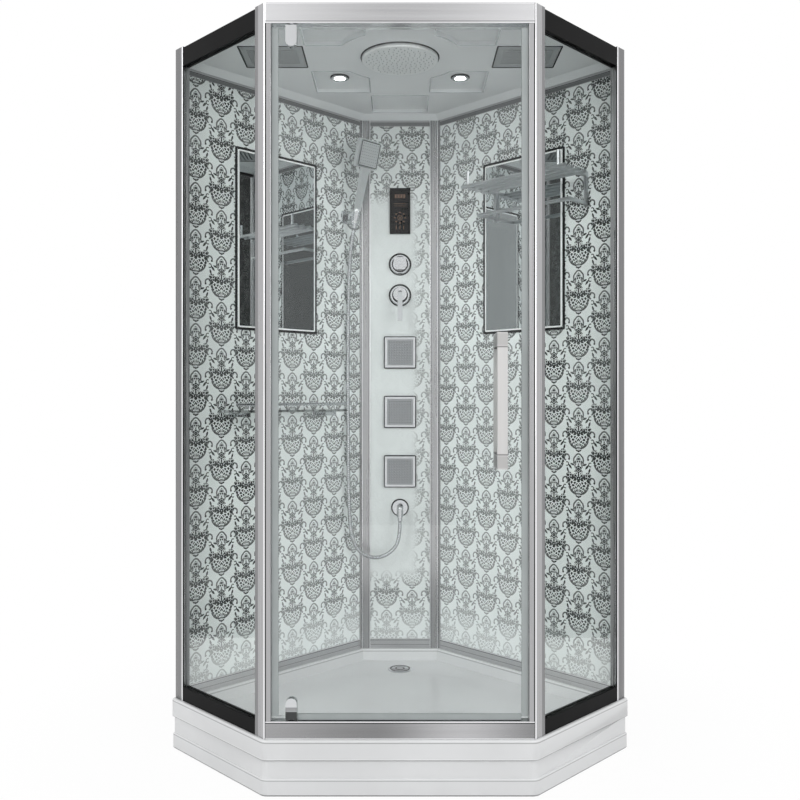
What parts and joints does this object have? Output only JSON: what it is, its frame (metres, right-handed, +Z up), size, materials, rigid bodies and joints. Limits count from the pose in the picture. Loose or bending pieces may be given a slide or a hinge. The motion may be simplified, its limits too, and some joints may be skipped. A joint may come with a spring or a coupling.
{
  "type": "hydromassage shower cabin",
  "caption": "Five-sided corner shower cabin with a glass pivot door, damask glass walls, a column with body jets and a hand shower, mirrors, a shelf, a towel rack and a lit roof.",
  "frame": {"origin": "middle of the bounding box on the floor", "axes": "+X to the right seen from the door, +Y to the room corner, +Z up; the door faces -Y"},
  "size_m": [1.4142, 1.0694, 2.17],
  "materials": {
    "white_acrylic": "gloss white acrylic",
    "galvanised": "zinc plated",
    "satin_aluminium": "satin anodised",
    "black_rail": "gloss black",
    "clear_glass": "clear tempered glass",
    "printed_glass": "tempered glass printed behind with a damask pattern",
    "mirror": "silvered",
    "chrome": "polished",
    "black_plastic": "gloss black",
    "brass": "cast",
    "copper_pipe": "drawn tube",
    "spray_rubber": "soft nozzles",
    "clear_seal": "clear soft plastic",
    "lamp_lens": "frosted",
    "white_grille": "moulded"
  },
  "bodies": {
    "cabin": {"ceiling_grilles": "white_grille", "column_panel": "printed_glass", "control_box": "black_plastic", "control_display": "black_plastic", "door_header": "satin_aluminium", "door_threshold": "satin_aluminium", "drain_trap": "white_acrylic", "fan_housing": "black_plastic", "glass_shelf": "clear_glass", "handset_holder": "chrome", "hose_elbow": "chrome", "jet_frames": "chrome", "left_bottom_rail": "black_rail", "left_corner_profile": "satin_aluminium", "left_front_post": "satin_aluminium", "left_mirror": "mirror", "left_outer_post": "satin_aluminium", "left_side_glass": "clear_glass", "left_top_rail": "black_rail", "left_wall_panel": "printed_glass", "levelling_feet": "galvanised", "rain_shower": "chrome", "right_bottom_rail": "black_rail", "right_corner_profile": "satin_aluminium", "right_front_post": "satin_aluminium", "right_mirror": "mirror", "right_outer_post": "satin_aluminium", "right_side_glass": "clear_glass", "right_top_rail": "black_rail", "right_wall_panel": "printed_glass", "roof_panel": "white_acrylic", "shelf_fittings": "chrome", "shower_hose": "chrome", "shower_tray": "white_acrylic", "speaker_driver": "black_plastic", "spot_bezels": "chrome", "spot_lenses": "lamp_lens", "support_frame": "galvanised", "towel_rack": "chrome", "tray_apron": "white_acrylic", "valve_body": "brass", "valve_escutcheons": "chrome", "wall_base_channels": "satin_aluminium", "wall_top_channels": "satin_aluminium", "water_pipes": "copper_pipe"},
    "door": {"door_glass": "clear_glass", "door_handle": "chrome", "pivot_clamps": "chrome", "door_seals": "clear_seal"},
    "diverter": {"diverter_knob": "chrome"},
    "mixer": {"mixer_drum": "chrome"},
    "lever": {"mixer_lever": "chrome"},
    "jet_1": {"jet_plate_1": "chrome"},
    "jet_2": {"jet_plate_2": "chrome"},
    "jet_3": {"jet_plate_3": "chrome"},
    "handset": {"hand_shower": "chrome", "spray_plate": "spray_rubber", "hose_cone": "chrome"},
    "fan": {"fan_impeller": "black_plastic"},
    "drain": {"drain_cover": "chrome"}
  },
  "joints": [
    {"name": "door_swing", "type": "hinge", "parent": "cabin", "child": "door", "pos_m": [-0.29795, -0.48372, 1.1], "axis": [0, 0, -1], "range_deg": [0, 90]},
    {"name": "diverter_turn", "type": "hinge", "parent": "cabin", "child": "diverter", "pos_m": [0, 0.36272, 1.583], "axis": [0, -1, 0], "range_deg": [-90, 90]},
    {"name": "mixer_turn", "type": "hinge", "parent": "cabin", "child": "mixer", "pos_m": [0, 0.36272, 1.468], "axis": [0, -1, 0], "range_deg": [-45, 45]},
    {"name": "mixer_lift", "type": "hinge", "parent": "mixer", "child": "lever", "pos_m": [0, 0.33242, 1.468], "axis": [-1, 0, 0], "range_deg": [0, 25]},
    {"name": "jet_1_tilt", "type": "hinge", "parent": "cabin", "child": "jet_1", "pos_m": [0, 0.35222, 1.255], "axis": [1, 0, 0], "range_deg": [-5, 5]},
    {"name": "jet_2_tilt", "type": "hinge", "parent": "cabin", "child": "jet_2", "pos_m": [0, 0.35222, 1.034], "axis": [1, 0, 0], "range_deg": [-5, 5]},
    {"name": "jet_3_tilt", "type": "hinge", "parent": "cabin", "child": "jet_3", "pos_m": [0, 0.35222, 0.813], "axis": [1, 0, 0], "range_deg": [-5, 5]},
    {"name": "handset_lift", "type": "slide", "parent": "cabin", "child": "handset", "axis": [0.1949, -0.1949, 0.9613], "range_m": [0, 0.12], "deforming": ["shower_hose"]},
    {"name": "fan_spin", "type": "hinge", "parent": "cabin", "child": "fan", "pos_m": [-0.387, -0.20072, 2.156], "axis": [0, 0, 1], "continuous": true},
    {"name": "drain_lift", "type": "slide", "parent": "cabin", "child": "drain", "axis": [0, 0, 1], "range_m": [0, 0.03]}
  ]
}
